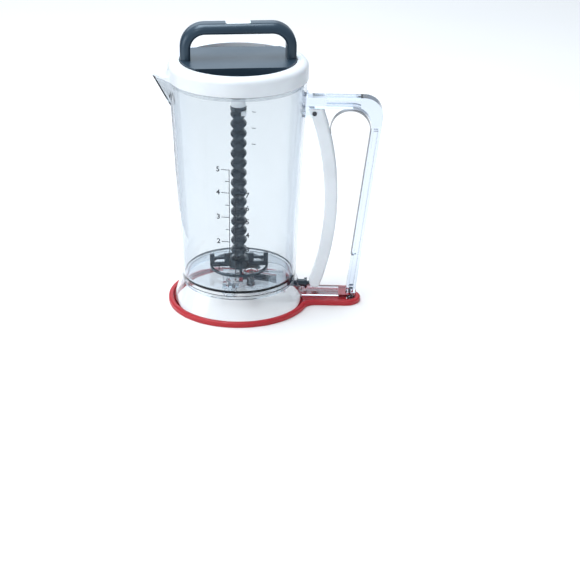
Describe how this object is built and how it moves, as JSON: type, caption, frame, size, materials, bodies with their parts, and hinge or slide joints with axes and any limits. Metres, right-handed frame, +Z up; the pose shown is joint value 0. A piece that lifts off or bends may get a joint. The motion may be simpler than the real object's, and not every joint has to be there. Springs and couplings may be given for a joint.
{
  "type": "pancake batter dispenser",
  "caption": "Clear pouring jug with a D handle, a squeeze lever that opens a floor valve, a lift-off lid, and a twisted mixing rod turned by an arch handle.",
  "frame": {"origin": "on the jug's axis at the table, at the bottom of the foot ring", "axes": "+X from the jug's axis towards the D handle, the spout on -X; +Z up along the jug's axis; +Y completes the right-handed frame, away from the picture's camera"},
  "size_m": [0.1976, 0.1268, 0.2551],
  "materials": {
    "clear_plastic": "clear, polished",
    "clear_silicone": "translucent, soft",
    "white_plastic": "smooth, satin gloss",
    "slate_plastic": "smooth, satin gloss",
    "red_silicone": "smooth, satin",
    "black_rubber": "smooth",
    "steel": "bright, drawn"
  },
  "bodies": {
    "jug": {"jug_body": "clear_plastic", "jug_handle": "clear_plastic", "base_skirt": "clear_plastic", "foot_ring": "red_silicone", "pivot_pin": "steel", "return_spring": "steel", "valve_housing": "clear_plastic", "valve_gasket": "red_silicone", "gland_cap": "white_plastic", "stem_seal": "black_rubber", "housing_screws": "steel", "handle_screw": "steel"},
    "lid": {"lid_ring": "white_plastic", "lid_gasket": "clear_silicone"},
    "mixer": {"mixer_handle": "slate_plastic", "handle_inlay": "white_plastic", "hub_clip": "steel", "drive_spindle": "white_plastic", "mixing_rod": "slate_plastic", "mixing_paddle": "slate_plastic"},
    "lever": {"trigger_lever": "white_plastic"},
    "stem": {"valve_stem": "slate_plastic", "valve_plug": "red_silicone"}
  },
  "joints": [
    {"name": "lid_lift", "type": "slide", "parent": "jug", "child": "lid", "axis": [0, 0, 1], "range_m": [0, 0.19]},
    {"name": "mixer_turn", "type": "hinge", "parent": "lid", "child": "mixer", "pos_m": [0, 0, 0.2], "axis": [0, 0, 1], "continuous": true},
    {"name": "lever_squeeze", "type": "hinge", "parent": "jug", "child": "lever", "pos_m": [0.0655, 0, 0.1777], "axis": [0, -1, 0], "range_deg": [0, 2.83], "stiffness_Nm_per_rad": 3, "springref_deg": -2.86, "deforming": ["return_spring"]},
    {"name": "stem_pull", "type": "slide", "parent": "jug", "child": "stem", "axis": [1, 0, 0], "range_m": [0, 0.0081]}
  ],
  "couplings": [
    {"joint": "stem_pull", "follows": "lever_squeeze", "m_per_rad": 0.1617}
  ]
}
